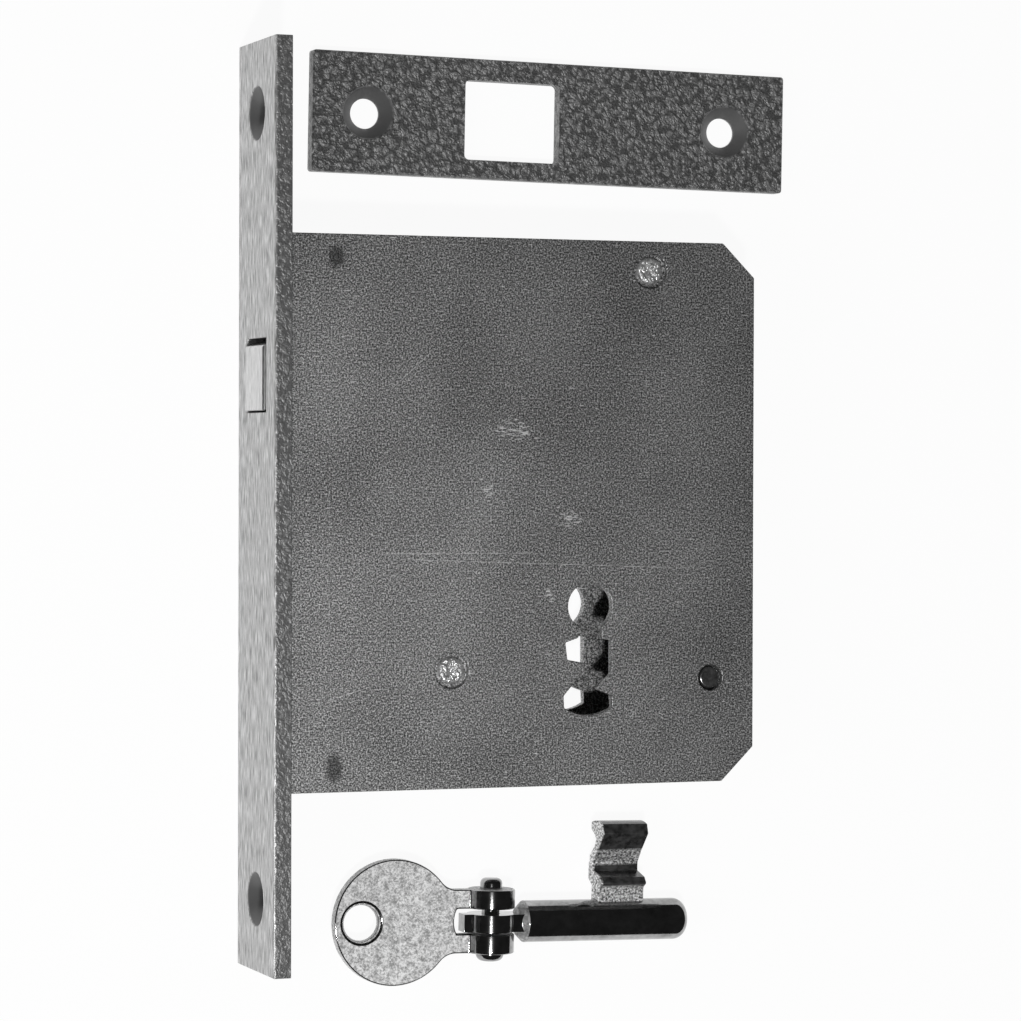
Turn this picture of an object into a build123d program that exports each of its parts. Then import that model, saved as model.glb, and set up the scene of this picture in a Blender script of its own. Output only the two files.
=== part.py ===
from build123d import *
import os
from math import cos, radians, sin, sqrt

# Sliding door lock with a swinging hook bolt, its strike plate and its folding key.
# Millimetres. X runs from the forend's front face into the case, Y along the forend
# towards the bolt, and Z up out of the case cover. The origin is the middle of the
# forend's front face. The lock, the strike plate and the key lie on one table.

# Forend
forend_width = 20.0
forend_height = 150.4
forend_thick = 3.0
forend_edge = 0.15
screw_spacing = 127.0
screw_hole_d = 5.0
screw_sink_d = 9.0
screw_sink_depth = 2.0

# Case, which stands in from the forend's back face
case_thick = 14.0
case_sheet = 1.5
case_depth = 82.0
case_top = 44.0
case_bottom = -46.0
case_corner = 5.7

# Case screws, and the pillars that they go into
rear_screw_from_rear = 18.9
rear_screw_from_top = 4.9
front_screw_x = 31.2
front_screw_from_bottom = 19.3
pillar_d = 5.6
pillar_spigot_d = 3.6
case_screw_d = 3.0
case_screw_head_d = 4.5
case_screw_head_height = 0.9
case_screw_head_round = 0.54
case_screw_dimple_d = 5.9
case_screw_length = 8.0
driver_cross_length = 2.9
driver_cross_width = 0.55
driver_cross_depth = 0.65
driver_cross_turn = 35.0

# Brackets that join the forend to the case, at the height of the two press marks
bracket_from_top = 3.75
bracket_from_bottom = 3.9
bracket_width = 4.4
bracket_sheet = 1.5
bracket_leg = 13.0

# Hook bolt: a ring segment on a post, of which the nose shows in the forend's slot
hook_pivot_y = 4.15
hook_hub_d = 9.2
hook_hub_gap = 0.4
hook_inner_radius = 14.0
hook_radial_thick = 9.3
hook_width = 9.8
hook_web_thick = 4.9
hook_swing = 72.0
hook_nose_proud = 0.4
hook_nose_edge = 0.25
hook_web_start = 20.0
hook_full_start = 50.0
hook_end = 136.0
hook_slot_wall = 2.2
hook_web_steps = 5
hook_post_d = 5.0
hook_post_spigot_d = 4.0
hook_washer_thick = 0.45
bolt_slot_side_gap = 0.5
bolt_slot_low_gap = 0.44
bolt_slot_high_gap = 0.3

# Key way
key_axis_y = -16.45
keyhole_round_d = 7.8
keyhole_neck_start = 3.0
keyhole_foot_middle = -0.3
keyhole_foot_room = 1.17

# The key way's two sides: place across, and distance in from the circle of the key's tip
keyhole_front = (
    (-2.05, 11.6), (-4.35, 10.85), (-4.0, 8.0), (0.0, 7.25), (-4.65, 2.05), (-4.55, 0.05),
)
keyhole_back = (
    (3.95, 0.0), (3.85, 2.0), (2.5, 2.5), (1.45, 3.0), (3.8, 5.55), (3.8, 11.15), (2.05, 11.35),
)

# Key
key_tip_radius = 16.8
key_shank_d = 7.0
key_barrel_d = 8.1
key_bit_start = 18.75
key_bit_width = 8.25
key_bit_edge = 0.3
key_bit_root = 2.6
key_bit_neck_half = 1.6
key_end = 35.15
key_end_round = 2.2
key_shank_start = 4.62
key_shank_bevel = 1.2
key_tongue_low = -1.54
key_tongue_high = 1.45
key_tongue_half = 2.5
key_tail_length = 5.15
key_tail_half = 1.5
key_bow_thick = 2.0
key_bow_d = 21.0
key_bow_centre = 17.2
key_bow_aside = 0.25
key_ring_d = 5.9
key_ring_rim = 0.55
key_ring_centre = 23.0
key_neck_round = 3.5
key_ear_outer = 5.35
key_ear_inner = 2.1
key_fork_depth = 6.75
key_fork_curve = 0.5
key_pin_d = 3.0
key_pin_head_d = 3.7
key_pin_head_height = 1.8
key_pin_rivet_d = 4.7
key_pin_rivet_height = 1.4
key_pin_rivet_round = 1.17

# The bit's two sides: height over the key's middle plane, and distance in from its tip
key_bit_front = (
    (1.6, 11.3), (2.9, 10.4), (2.0, 9.4), (-1.2, 8.6), (-1.2, 7.2), (0.3, 5.2), (3.2, 2.0), (2.6, 0.4),
)
key_bit_back = (
    (-2.2, 0.4), (-2.4, 1.6), (-0.7, 2.4), (-0.1, 3.2), (-0.6, 4.3), (-2.6, 5.9), (-3.2, 7.8),
    (-3.1, 10.2), (-1.6, 11.0),
)

# Thrust slide, which the key pushes and which swings the hook bolt
talon_bite = 1.4
talon_width = 7.4
talon_over_key = 0.8
slide_thick = 3.0
slide_low = 0.5
slide_hook_gap = 0.7
slide_left_wall = 2.4
slide_right_wall = 1.5
slide_wall_gap = 1.83
drive_pin_d = 3.0
drive_pin_height = 8.0
drive_pin_past_pivot = 3.0
drive_pin_tip_gap = 0.4
drive_finger_half = 3.0
guide_over_slide_edge = 13.95
guide_neck_d = 4.0
guide_base_d = 6.0
guide_top_wall = 1.8
stump_before_key = 0.5
stump_over_slide_edge = 5.45
stump_past_lever = 0.4
stump_d = 3.0

# Tumbler lever
lever_wall_gap = 3.3
lever_arm_width = 6.0
lever_key_gap = 1.9
lever_pivot_under_key = 12.15
lever_foot_over_pivot = 1.0
lever_boss_d = 8.4
lever_thick = 2.0
lever_low = -3.0
lever_lift = 4.5
lever_key_lift = 1.94
lever_wall = 1.8
lever_shoulder_drop = 1.6
lever_shoulder_length = 6.0
lever_bridge_past_stump = 1.0
lever_tip_past_gate = 4.1
lever_tip_slope = 1.5
lever_tip_run = 3.0
lever_belly_before_key = 7.5
lever_armpit = (4.2, 4.4)
tumbler_pin_d = 3.7
tumbler_pin_below_face = 0.4
spacer_d = 6.4

# Leaf spring that bears on the lever
spring_thick = 0.5
spring_width = 3.4
spring_peg_d = 3.0
spring_peg_from_top = 20.0
spring_foot_y = -17.0
spring_bow_drop = 9.0
spring_wall_gap = 0.35

# Strike plate
strike_length = 85.0
strike_width = 20.0
strike_thick = 2.5
strike_corner = 0.5
strike_edge = 0.25
strike_hole_length = 16.9
strike_hole_width = 13.3
strike_hole_corner = 0.8
strike_hole_offset = -7.4
strike_hole_aside = -0.25
strike_screw_spacing = 64.4
strike_screw_offset = -0.7

# Where the loose pieces lie
strike_place = (54.4, 64.5)
strike_turn = -0.9
key_place = (42.85, -69.63)
key_turn = -1.3

# Clearances
running_gap = 0.05
rivet_gap = 0.02
thread_gap = 0.06
pin_hole_gap = 0.3
slot_gap = 0.12
gate_gap = 0.3
plate_gap = 0.15
lid_gap = 0.2

# How far a cutting tool runs past what it cuts
overrun = 1.0

# Values that follow from the ones above: the case
table_z = -forend_width / 2
face_z = case_thick / 2
inner_z = face_z - case_sheet
case_front = forend_thick
case_rear = forend_thick + case_depth
rear_wall = case_rear - case_sheet
case_screw_places = (
    (case_rear - rear_screw_from_rear, case_top - rear_screw_from_top),
    (front_screw_x, case_bottom + front_screw_from_bottom),
)
bracket_places = (case_top - bracket_from_top, case_bottom + bracket_from_bottom)

# The lever's arm stands at the rear wall, and the key's tip just clears it
lever_right = rear_wall - lever_wall_gap
lever_left = lever_right - lever_arm_width
lever_high = lever_low + lever_thick
backset = lever_left - lever_key_gap - key_tip_radius
lever_pivot = ((lever_left + lever_right) / 2, key_axis_y - lever_pivot_under_key)
spring_peg_place = (
    rear_wall - spring_wall_gap - spring_thick - spring_peg_d / 2, case_top - spring_peg_from_top
)

# The key's tip enters the talon and leaves it where its circle cuts the slide's edge
talon_height = key_tip_radius - talon_bite
slide_throw = 2 * sqrt(key_tip_radius ** 2 - talon_height ** 2)
slide_high = slide_low + slide_thick
slide_bottom = key_axis_y + talon_height
guide_y = slide_bottom + guide_over_slide_edge
slide_top = guide_y + guide_neck_d / 2 + slot_gap + guide_top_wall
stump_place = (backset - stump_before_key, slide_bottom + stump_over_slide_edge)

# The slide runs from just behind the hook's ring to just before the rear wall
hook_pivot_x = forend_thick + hook_hub_d / 2 + hook_hub_gap
hook_outer_radius = hook_inner_radius + hook_radial_thick
hook_pivot = (hook_pivot_x, hook_pivot_y)
drive_pin_place = (hook_pivot_x + drive_pin_past_pivot + slide_throw, hook_pivot_y + drive_pin_height)
slide_left = hook_pivot_x + hook_outer_radius + slide_hook_gap
slide_right = rear_wall - slide_wall_gap
guide_slot_end = guide_neck_d / 2 + slot_gap
guide_places = (
    (slide_left + slide_left_wall + guide_slot_end, guide_y),
    (slide_right - slide_right_wall - slot_gap - guide_slot_end - slide_throw, guide_y),
)

# The key lies on its barrels
key_axis_z = table_z + key_barrel_d / 2


def flat(outline, low, high):
    """A plate: a closed outline in X and Y, from one height to another."""
    return Pos(0, 0, low) * extrude(outline, amount=high - low)


def face_of(points):
    """A flat face with straight sides through the given points."""
    return make_face(Polyline(*points, close=True))


def rod(place, diameter, low, high):
    """An upright round bar."""
    return Pos(place[0], place[1], (low + high) / 2) * Cylinder(diameter / 2, high - low)


def on_ring(radius, angle):
    """A point at a radius and angle about the hook's pivot."""
    return (hook_pivot_x + radius * cos(radians(angle)), hook_pivot_y + radius * sin(radians(angle)))


def turned(point, pivot, angle):
    """A point turned about a pivot, anticlockwise by an angle in degrees."""
    x = point[0] - pivot[0]
    y = point[1] - pivot[1]
    c = cos(radians(angle))
    s = sin(radians(angle))
    return (pivot[0] + c * x - s * y, pivot[1] + s * x + c * y)


def case_outline(shrink):
    """The case's outline, drawn in by a wall on every side but the front."""
    rear = case_rear - shrink
    top = case_top - shrink
    bottom = case_bottom + shrink
    corner = case_corner - shrink * (2 - sqrt(2))
    return face_of([
        (case_front, bottom), (rear - corner, bottom), (rear, bottom + corner),
        (rear, top - corner), (rear - corner, top), (case_front, top),
    ])


def keyhole():
    """The profiled key way: a round for the shank over a crooked slot for the bit."""
    front = [(across, inwards - key_tip_radius) for across, inwards in keyhole_front]
    back = [(across, inwards - key_tip_radius) for across, inwards in keyhole_back]
    front_side = Polyline((front[0][0], -keyhole_neck_start), *front)
    foot = ThreePointArc(
        front[-1], (keyhole_foot_middle, -key_tip_radius - keyhole_foot_room), back[0]
    )
    back_side = Polyline(*back, (back[-1][0], -keyhole_neck_start))
    slot = make_face([front_side, foot, back_side, Line(back_side @ 1, front_side @ 0)])
    return Pos(backset, key_axis_y) * (Circle(keyhole_round_d / 2) + slot)


def peg_in_part(rest, pivot, turn, travel):
    """Where a peg on the slide is after a travel, seen from a part that turns evenly with the slide."""
    return turned((rest[0] - travel, rest[1]), pivot, -turn * travel / slide_throw)


def moved_slot(rest, pivot, turn, half_width):
    """The slot that a peg on the slide needs in a part that turns about a pivot.

    The part turns by an even share of its full angle for each step of the slide,
    and the slot's two walls lie half a width each side of the peg's path.
    """
    steps = 12
    rate = radians(turn) / slide_throw
    left = []
    right = []
    for i in range(steps + 1):
        travel = slide_throw * i / steps
        x, y = peg_in_part(rest, pivot, turn, travel)
        across = rest[1] - pivot[1]
        along = rest[0] - travel - pivot[0]
        u, v = turned((-1 + rate * across, -rate * along), (0, 0), -turn * travel / slide_throw)
        size = sqrt(u * u + v * v)
        u, v = u / size * half_width, v / size * half_width
        left.append((x - v, y + u))
        right.append((x + v, y - u))
        if i == 0:
            start = (x - u, y - v)
        end = (x + u, y + v)
    wall_a = Spline(*left)
    wall_b = Spline(*right)
    cap_a = ThreePointArc(left[0], start, right[0])
    cap_b = ThreePointArc(left[-1], end, right[-1])
    return make_face([wall_a, cap_b, wall_b, cap_a])


def sunk_hole(hole_d, sink_d, sink_depth, thick):
    """The tool for a countersunk hole: down along -Z from a face at zero."""
    straight = Pos(0, 0, -thick / 2) * Cylinder(hole_d / 2, thick + overrun)
    cone = Pos(0, 0, -sink_depth / 2) * Cone(hole_d / 2, sink_d / 2, sink_depth)
    return straight + cone


def forend():
    """The long face plate with two countersunk holes and the bolt's slot."""
    plate = Pos(forend_thick / 2, 0, 0) * Box(forend_thick, forend_height, forend_width)
    plate = chamfer(plate.faces().sort_by(Axis.X)[0].edges(), forend_edge)
    for side in (-1, 1):
        hole = sunk_hole(screw_hole_d, screw_sink_d, screw_sink_depth, forend_thick)
        plate -= Pos(0, side * screw_spacing / 2, 0) * Rot(0, -90, 0) * hole
    low = hook_pivot_y + sqrt(hook_inner_radius ** 2 - hook_pivot_x ** 2) - bolt_slot_low_gap
    reach = hook_pivot_x - forend_thick
    high = hook_pivot_y + sqrt(hook_outer_radius ** 2 - reach ** 2) + bolt_slot_high_gap
    slot = Box(4 * forend_thick, high - low, hook_width + 2 * bolt_slot_side_gap)
    return plate - Pos(0, (low + high) / 2, 0) * slot


def case_tray():
    """Back plate and rim in one piece, open at the forend."""
    tray = flat(case_outline(0), -face_z, inner_z)
    tray -= flat(case_outline(case_sheet), -inner_z, inner_z + overrun)
    tray -= flat(keyhole(), -face_z - overrun, 0)
    rivets = [(place, pillar_spigot_d) for place in case_screw_places]
    rivets += [(place, guide_neck_d) for place in guide_places]
    rivets += [
        (hook_pivot, hook_post_spigot_d), (lever_pivot, tumbler_pin_d), (spring_peg_place, spring_peg_d),
    ]
    for place, diameter in rivets:
        tray -= rod(place, diameter + 2 * rivet_gap, -face_z - overrun, 0)
    return tray


def case_cover():
    """The flat lid, with the key way, two dimpled screw holes and the pin's hole."""
    lid = flat(case_outline(0), inner_z, face_z)
    under = inner_z - overrun
    over = face_z + overrun
    lid -= flat(keyhole(), under, over)
    for place in case_screw_places:
        lid -= rod(place, case_screw_d + 2 * pin_hole_gap, under, over)
        lid -= rod(place, case_screw_dimple_d, face_z - case_screw_head_height, over)
    return lid - rod(lever_pivot, tumbler_pin_d + 2 * pin_hole_gap, under, over)


def case_screw():
    """A pan head screw with a cross recess, its head level with the lid."""
    seat = face_z - case_screw_head_height
    head = rod((0, 0), case_screw_head_d, seat, face_z)
    head = fillet(head.edges().sort_by(Axis.Z)[-1], case_screw_head_round)
    for angle in (driver_cross_turn, driver_cross_turn + 90):
        cross = Box(driver_cross_length, driver_cross_width, 2 * driver_cross_depth)
        head -= Pos(0, 0, face_z) * Rot(0, 0, angle) * cross
    thread_d = case_screw_d - 2 * thread_gap
    return head + rod((0, 0), thread_d, face_z - case_screw_length, seat)


def cover_screws():
    """Both case screws."""
    return [Pos(*place) * case_screw() for place in case_screw_places]


def cover_pillars():
    """Tapped pillars riveted into the back plate, which the lid sits on."""
    pillars = []
    for place in case_screw_places:
        pillar = rod(place, pillar_d, -inner_z, inner_z)
        pillar += rod(place, pillar_spigot_d, -face_z, -inner_z)
        thread = rod(place, case_screw_d, face_z - case_screw_length - overrun, inner_z + overrun)
        pillars.append(pillar - thread)
    return pillars


def forend_brackets():
    """Two angles, each with one leg on the forend and one on the back plate."""
    brackets = []
    for y in bracket_places:
        tall = Box(bracket_sheet, bracket_width, 2 * inner_z - lid_gap)
        long = Box(bracket_leg, bracket_width, bracket_sheet)
        upright = Pos(case_front + bracket_sheet / 2, y, -lid_gap / 2) * tall
        foot = Pos(case_front + bracket_leg / 2, y, -inner_z + bracket_sheet / 2) * long
        brackets.append(upright + foot)
    return brackets


def ring_segment(start, end):
    """A flat segment of the hook's ring between two angles."""
    middle = (start + end) / 2
    outer = ThreePointArc(
        on_ring(hook_outer_radius, start), on_ring(hook_outer_radius, middle), on_ring(hook_outer_radius, end)
    )
    inner = ThreePointArc(
        on_ring(hook_inner_radius, start), on_ring(hook_inner_radius, middle), on_ring(hook_inner_radius, end)
    )
    return make_face([outer, Line(outer @ 1, inner @ 1), inner, Line(inner @ 0, outer @ 0)])


def hook_bolt():
    """The hook: a full-width nose on a thinner ring, a web with the cam slot, and a hub."""
    low = -hook_width / 2
    web_high = low + hook_web_thick
    slot_half = drive_pin_d / 2 + slot_gap
    hub = Pos(*hook_pivot) * Circle(hook_hub_d / 2)
    bosses = []
    for i in range(hook_web_steps + 1):
        place = peg_in_part(drive_pin_place, hook_pivot, hook_swing, slide_throw * i / hook_web_steps)
        bosses.append(Pos(*place) * Circle(slot_half + hook_slot_wall))
    nose_cut = Pos(-hook_nose_proud - hook_outer_radius, hook_pivot_y) * Rectangle(
        2 * hook_outer_radius, 4 * hook_outer_radius
    )
    bore = Pos(*hook_pivot) * Circle(hook_post_d / 2 + running_gap)
    web = make_hull((hub + bosses[-1]).edges()) + ring_segment(hook_web_start, hook_end)
    for boss, next_boss in zip(bosses, bosses[1:]):
        web += make_hull((boss + next_boss).edges())
    web -= nose_cut + bore + moved_slot(drive_pin_place, hook_pivot, hook_swing, slot_half)
    full = ring_segment(hook_full_start, hook_end) + hub - nose_cut - bore
    hook = flat(web, low, web_high) + flat(full, web_high, hook_width / 2)
    nose = hook.faces().sort_by(Axis.X)[0]
    return chamfer(nose.edges(), hook_nose_edge)


def hook_pivot_post():
    """The post that the hook turns on, riveted into the back plate."""
    post = rod(hook_pivot, hook_post_d, -inner_z, inner_z - lid_gap)
    return post + rod(hook_pivot, hook_post_spigot_d, -face_z, -inner_z)


def hook_washers():
    """A washer under the hub and one over it."""
    washers = []
    for low in (-inner_z, inner_z - hook_washer_thick):
        high = low + hook_washer_thick
        disc = rod(hook_pivot, hook_hub_d - 2 * plate_gap, low, high)
        bore = rod(hook_pivot, hook_post_d + 2 * running_gap, low - overrun, high + overrun)
        washers.append(disc - bore)
    return washers


def block(left, right, low, high):
    """A flat rectangle between two places in X and two in Y."""
    return face_of([(left, low), (right, low), (right, high), (left, high)])


def thrust_slide():
    """The plate that the key pushes: a finger to the hook, guide slots and the talon."""
    pin_x, pin_y = drive_pin_place
    plate = block(slide_left, slide_right, slide_bottom, slide_top)
    plate += block(
        pin_x - drive_finger_half, slide_left + overrun, pin_y - drive_finger_half, pin_y + drive_finger_half
    )
    talon_x = backset + slide_throw / 2
    talon_top = key_axis_y + key_tip_radius + talon_over_key
    plate -= block(
        talon_x - talon_width / 2, talon_x + talon_width / 2, slide_bottom - overrun, talon_top
    )
    for x, y in guide_places:
        length = slide_throw + 2 * slot_gap
        plate -= Pos(x + slide_throw / 2, y) * SlotCenterToCenter(length, guide_neck_d + 2 * slot_gap)
    plate -= Pos(pin_x, pin_y) * Circle(drive_pin_d / 2 + rivet_gap)
    plate -= Pos(*stump_place) * Circle(stump_d / 2 + rivet_gap)
    return flat(plate, slide_low, slide_high)


def drive_pin():
    """The pin that stands down from the slide's finger into the hook's slot."""
    return rod(drive_pin_place, drive_pin_d, -hook_width / 2 + drive_pin_tip_gap, slide_high)


def tumbler_stump():
    """The stump on the slide that sits in the lever's gate."""
    return rod(stump_place, stump_d, lever_low - stump_past_lever, slide_high)


def guide_studs():
    """Two shouldered studs that the slide runs on."""
    studs = []
    for place in guide_places:
        stud = rod(place, guide_base_d, -inner_z, slide_low - plate_gap)
        studs.append(stud + rod(place, guide_neck_d, -face_z, inner_z - lid_gap))
    return studs


def guide_collars():
    """Collars over the slide, which keep it down on its studs."""
    collars = []
    for place in guide_places:
        collar = rod(place, guide_base_d, slide_high + plate_gap, inner_z)
        collars.append(collar - rod(place, guide_neck_d + 2 * rivet_gap, slide_high, inner_z + overrun))
    return collars


def tumbler_lever():
    """The lever that holds the slide: it arches over the key and has a gate for the stump."""
    stump_x, stump_y = stump_place
    foot = lever_pivot[1] + lever_foot_over_pivot
    belly = key_axis_y + key_tip_radius - lever_key_lift
    gate_half = stump_d / 2 + gate_gap
    bridge_top = stump_y + gate_half + lever_wall
    gate_x, gate_y = turned((stump_x - slide_throw, stump_y), lever_pivot, lever_lift)
    tip_x = gate_x - lever_tip_past_gate
    tip_top = gate_y + gate_half + lever_wall
    tip_bottom = gate_y - gate_half - lever_wall
    lever = face_of([
        (lever_left, foot), (lever_right, foot), (lever_right, belly + lever_shoulder_drop),
        (lever_right - lever_shoulder_length, bridge_top), (stump_x + lever_bridge_past_stump, bridge_top),
        (tip_x + lever_tip_slope, tip_top), (tip_x, gate_y + gate_half), (tip_x, tip_bottom),
        (gate_x + lever_tip_run, tip_bottom), (backset - lever_belly_before_key, belly),
        (lever_left - lever_armpit[0], belly), (lever_left, belly - lever_armpit[1]),
    ])
    lever += Pos(*lever_pivot) * Circle(lever_boss_d / 2)
    lever -= moved_slot(stump_place, lever_pivot, -lever_lift, gate_half)
    lever -= Pos(*lever_pivot) * Circle(tumbler_pin_d / 2 + running_gap)
    return flat(lever, lever_low, lever_high)


def tumbler_pin():
    """The lever's pin, of which the end shows in the lid."""
    return rod(lever_pivot, tumbler_pin_d, -face_z, face_z - tumbler_pin_below_face)


def tumbler_spacers():
    """Sleeves on the pin under and over the lever."""
    sleeves = []
    for low, high in ((-inner_z, lever_low - plate_gap), (lever_high + plate_gap, inner_z)):
        bore = rod(lever_pivot, tumbler_pin_d + 2 * running_gap, low - overrun, high + overrun)
        sleeves.append(rod(lever_pivot, spacer_d, low, high) - bore)
    return sleeves


def tumbler_spring():
    """A bowed leaf: hooked round the peg, bearing on the lever's arm, its foot on the rear wall."""
    peg_x, peg_y = spring_peg_place
    wall_x = rear_wall - spring_wall_gap - spring_thick / 2
    bow_x = lever_right + plate_gap + spring_thick / 2
    bow_y = (spring_foot_y + peg_y) / 2 - spring_bow_drop
    hook_radius = spring_peg_d / 2 + plate_gap + spring_thick / 2
    lower = Spline(
        (wall_x, spring_foot_y), (bow_x, bow_y), (peg_x + hook_radius, peg_y),
        tangents=[(-0.3, 1), (0, 1)],
    )
    hook = ThreePointArc(lower @ 1, (peg_x, peg_y + hook_radius), (peg_x - hook_radius, peg_y))
    strip = trace(lower + hook, spring_thick)
    middle = (lever_low + lever_high) / 2
    return flat(strip, middle - spring_width / 2, middle + spring_width / 2)


def spring_peg():
    """The peg that holds the leaf spring."""
    return rod(spring_peg_place, spring_peg_d, -face_z, inner_z - lid_gap)


def strike_plate():
    """The strike plate: a square hole for the hook and two countersunk screw holes."""
    plate = flat(RectangleRounded(strike_length, strike_width, strike_corner), 0, strike_thick)
    plate = chamfer(plate.faces().sort_by(Axis.Z)[-1].edges(), strike_edge)
    hole = RectangleRounded(strike_hole_length, strike_hole_width, strike_hole_corner)
    plate -= Pos(strike_hole_offset, strike_hole_aside, 0) * flat(hole, -overrun, strike_thick + overrun)
    for side in (-1, 1):
        sink = sunk_hole(screw_hole_d, screw_sink_d, screw_sink_depth, strike_thick)
        plate -= Pos(strike_screw_offset + side * strike_screw_spacing / 2, 0, strike_thick) * sink
    return Pos(*strike_place, table_z) * Rot(0, 0, strike_turn) * plate


def in_key_place(piece):
    """Moves a piece from the key's own axes, with its hinge at zero, to where the key lies."""
    return Pos(*key_place, key_axis_z) * Rot(0, 0, key_turn) * piece


def cross_bar(diameter, low, high):
    """A round bar along the key's hinge axis."""
    return Pos(0, (low + high) / 2, 0) * Rot(90, 0, 0) * Cylinder(diameter / 2, high - low)


def key_bow():
    """The flat bow with its ring hole, necked to a fork with two round ears."""
    outline = Pos(-key_bow_centre, 0) * Circle(key_bow_d / 2)
    outline += block(-key_bow_centre, 0, -key_ear_outer, key_ear_outer)
    outline = fillet(outline.vertices().sort_by(Axis.X)[:2], key_neck_round)
    outline -= Pos(-key_ring_centre, 0) * Circle(key_ring_d / 2)
    bow = flat(outline, -key_bow_thick / 2, key_bow_thick / 2)
    rims = bow.edges().filter_by(GeomType.CIRCLE).sort_by(lambda edge: edge.radius)[:2]
    bow = chamfer(rims, key_ring_rim)
    bow += cross_bar(key_barrel_d, -key_ear_outer, key_ear_outer)
    shoulder = key_fork_depth - key_fork_curve
    sides = Polyline(
        (-shoulder, key_ear_inner), (key_barrel_d, key_ear_inner), (key_barrel_d, -key_ear_inner),
        (-shoulder, -key_ear_inner),
    )
    floor = ThreePointArc(sides @ 1, (-key_fork_depth, 0), sides @ 0)
    bow -= flat(make_face([sides, floor]), -key_barrel_d, key_barrel_d)
    bow -= cross_bar(key_pin_d + 2 * rivet_gap, -2 * key_ear_outer, 2 * key_ear_outer)
    return in_key_place(Pos(0, key_bow_aside, 0) * bow)


def shank_bar(diameter, low, high):
    """A round bar along the key's length."""
    return Pos((low + high) / 2, 0, 0) * Rot(0, 90, 0) * Cylinder(diameter / 2, high - low)


def key_shank():
    """The round shank, with a tongue and a barrel that fill the bow's fork."""
    straight = key_shank_start + key_shank_bevel
    shank = shank_bar(key_shank_d, straight, key_end)
    shank = fillet(shank.faces().sort_by(Axis.X)[-1].edges(), key_end_round)
    narrow = key_shank_d / 2 - key_shank_bevel
    bevel = Cone(narrow, key_shank_d / 2, key_shank_bevel)
    shank += Pos(key_shank_start + key_shank_bevel / 2, 0, 0) * Rot(0, 90, 0) * bevel
    middle = (key_tongue_low + key_tongue_high) / 2
    wide = key_tongue_high - key_tongue_low
    shank += Pos(straight / 2, middle, 0) * Box(straight, wide, 2 * key_tongue_half)
    shank += cross_bar(key_barrel_d, key_tongue_low, key_tongue_high)
    shank += Pos(-key_tail_length / 2, middle, 0) * Box(key_tail_length, wide, 2 * key_tail_half)
    shank -= cross_bar(key_pin_d + 2 * running_gap, 2 * key_tongue_low, 2 * key_tongue_high)
    return in_key_place(shank)


def key_bit():
    """The profiled bit, brazed on the shank: its section passes the key way with room."""
    front = [(key_tip_radius - inwards, height) for height, inwards in key_bit_front]
    back = [(key_tip_radius - inwards, height) for height, inwards in key_bit_back]
    front_side = Polyline((key_bit_root, key_bit_neck_half), *front)
    back_side = Polyline(*back, (key_bit_root, -key_bit_neck_half))
    tip = ThreePointArc(front[-1], (key_tip_radius, 0), back[0])
    section = make_face([front_side, tip, back_side, Line(back_side @ 1, front_side @ 0)])
    corners = [v for v in section.vertices() if v.X > key_shank_d / 2 + key_bit_edge]
    section = fillet(corners, key_bit_edge)
    bit = extrude(Plane.YZ.offset(key_bit_start) * section, amount=key_bit_width)
    return in_key_place(bit - shank_bar(key_shank_d + 2 * rivet_gap, 0, key_end))


def key_hinge_pin():
    """The rivet of the key's hinge: a domed head on one ear, a low spread one on the other."""
    pin = cross_bar(key_pin_d, -key_ear_outer, key_ear_outer)
    head = cross_bar(key_pin_head_d, key_ear_outer, key_ear_outer + key_pin_head_height)
    head = fillet(head.faces().sort_by(Axis.Y)[-1].edges(), key_pin_head_height / 2)
    tail = cross_bar(key_pin_rivet_d, -key_ear_outer - key_pin_rivet_height, -key_ear_outer)
    tail = fillet(tail.faces().sort_by(Axis.Y)[0].edges(), key_pin_rivet_round)
    return in_key_place(Pos(0, key_bow_aside, 0) * (pin + head + tail))


NODES = {
    "forend": forend,
    "case_tray": case_tray,
    "case_cover": case_cover,
    "cover_screws": cover_screws,
    "cover_pillars": cover_pillars,
    "forend_brackets": forend_brackets,
    "hook_bolt": hook_bolt,
    "hook_pivot_post": hook_pivot_post,
    "hook_washers": hook_washers,
    "thrust_slide": thrust_slide,
    "drive_pin": drive_pin,
    "tumbler_stump": tumbler_stump,
    "guide_studs": guide_studs,
    "guide_collars": guide_collars,
    "tumbler_lever": tumbler_lever,
    "tumbler_pin": tumbler_pin,
    "tumbler_spacers": tumbler_spacers,
    "tumbler_spring": tumbler_spring,
    "spring_peg": spring_peg,
    "strike_plate": strike_plate,
    "key_bow": key_bow,
    "key_shank": key_shank,
    "key_bit": key_bit,
    "key_hinge_pin": key_hinge_pin,
}

os.makedirs("parts", exist_ok=True)
for name, make in NODES.items():
    made = make()
    solids = []
    for piece in made if isinstance(made, list) else [made]:
        solids.extend(piece.solids())
    export_step(Compound(children=solids, label=name), f"parts/{name}.step")
print("slide throw", round(slide_throw, 4), "hook ratio", round(radians(hook_swing) / slide_throw * 1000, 4),
      "lever ratio", round(radians(lever_lift) / slide_throw * 1000, 4))
print("hook pivot", hook_pivot, "backset", backset, "lever pivot", lever_pivot, "guides", guide_places)
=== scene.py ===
"""The looks of a sliding door lock, its strike plate and its folding key.

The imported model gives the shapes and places. This script smooths the seen pieces, breaks
their edges, makes the case screws, gives each piece its finish, and sets the table, the
light and the camera. Lengths are in millimetres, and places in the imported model's frame.
"""

import logging
import math
from dataclasses import dataclass
from enum import Enum
from typing import Any, Callable

import bmesh
import bpy
from mathutils import Matrix, Vector


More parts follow.
